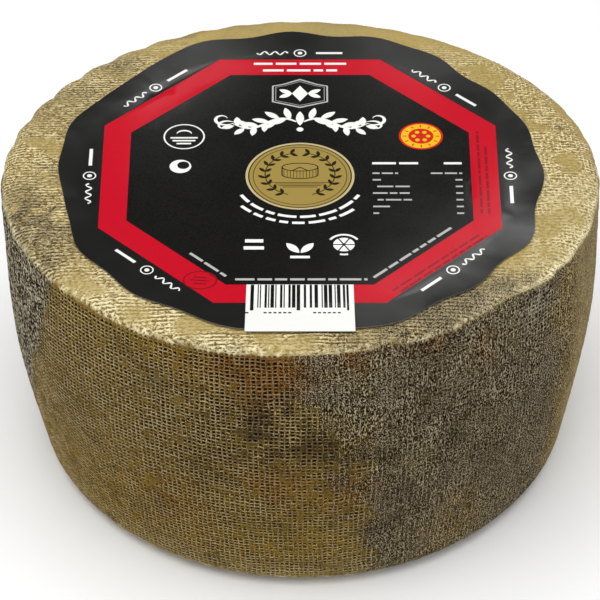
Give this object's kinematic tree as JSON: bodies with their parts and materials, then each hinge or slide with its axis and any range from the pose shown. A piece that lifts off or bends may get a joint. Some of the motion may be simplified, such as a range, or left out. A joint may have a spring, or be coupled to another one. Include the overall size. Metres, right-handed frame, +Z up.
{
  "type": "aged cheese wheel",
  "caption": "Whole aged sheep's milk cheese wheel with a cloth-marked rind and a round paper label on its top face, resting flat.",
  "frame": {"origin": "middle of the underside, where the wheel rests", "axes": "+Z up through the wheel's middle, -Y towards the front of the label, where its tab is, +X to the right"},
  "size_m": [0.1878, 0.188, 0.0969],
  "materials": {
    "rind": null,
    "label_paper": "satin coated paper, printed black with a red band, a gold disc and a white code panel"
  },
  "bodies": {
    "root": {"wheel": "rind", "label": "label_paper"}
  },
  "joints": []
}
